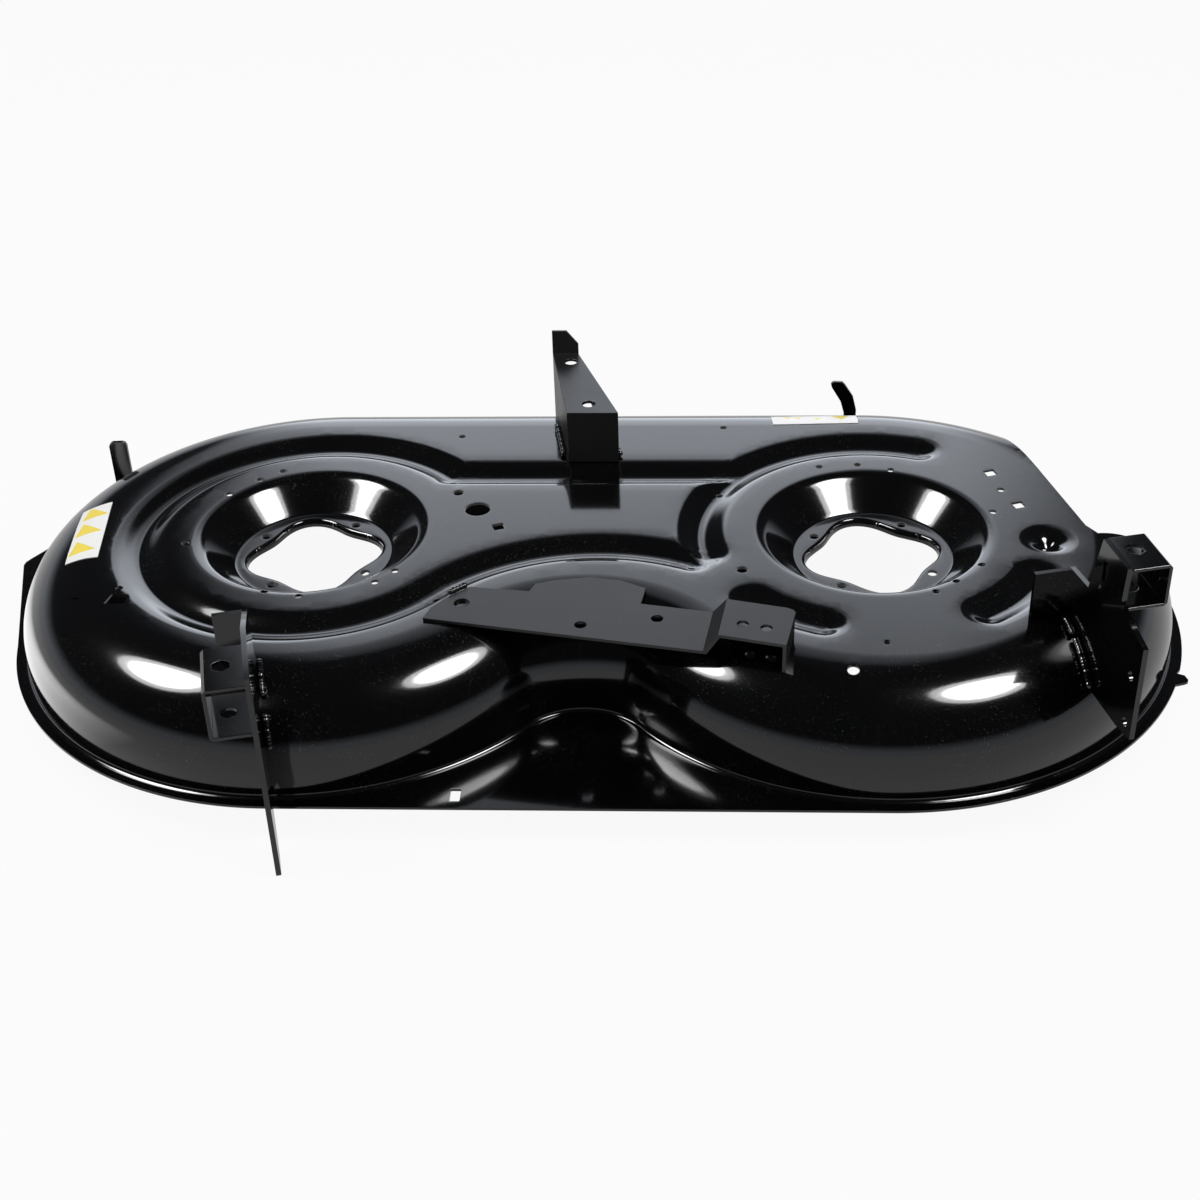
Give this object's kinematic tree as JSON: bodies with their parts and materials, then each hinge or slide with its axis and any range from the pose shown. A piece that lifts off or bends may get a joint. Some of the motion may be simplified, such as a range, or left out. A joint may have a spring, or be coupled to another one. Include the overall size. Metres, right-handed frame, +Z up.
{
  "type": "mower deck",
  "caption": "Pressed steel mower deck shell with joined round blade chambers, side discharge opening, spindle seats and welded hanging brackets.",
  "frame": {"origin": "centre of the left spindle seat, on its upper face", "axes": "+X from the left spindle to the right one, +Y to the front of the mower, +Z up"},
  "size_m": [1.152, 0.6448, 0.238],
  "materials": {
    "shell_paint": "gloss black powder coat",
    "bracket_paint": "gloss black powder coat",
    "weld": "gloss black paint over weld metal",
    "label": "smooth vinyl"
  },
  "bodies": {
    "root": {"deck_shell": "shell_paint", "front_bracket": "bracket_paint", "bridge_plate": "bracket_paint", "left_plate": "bracket_paint", "left_channel": "bracket_paint", "right_plate": "bracket_paint", "right_channel": "bracket_paint", "left_hook": "bracket_paint", "right_hook": "bracket_paint", "left_label": "label", "right_label": "label", "front_weld_left": "weld", "front_weld_right": "weld", "left_weld_upper": "weld", "left_weld_lower": "weld", "right_weld_upper": "weld", "right_weld_lower": "weld", "bridge_weld": "weld"}
  },
  "joints": []
}
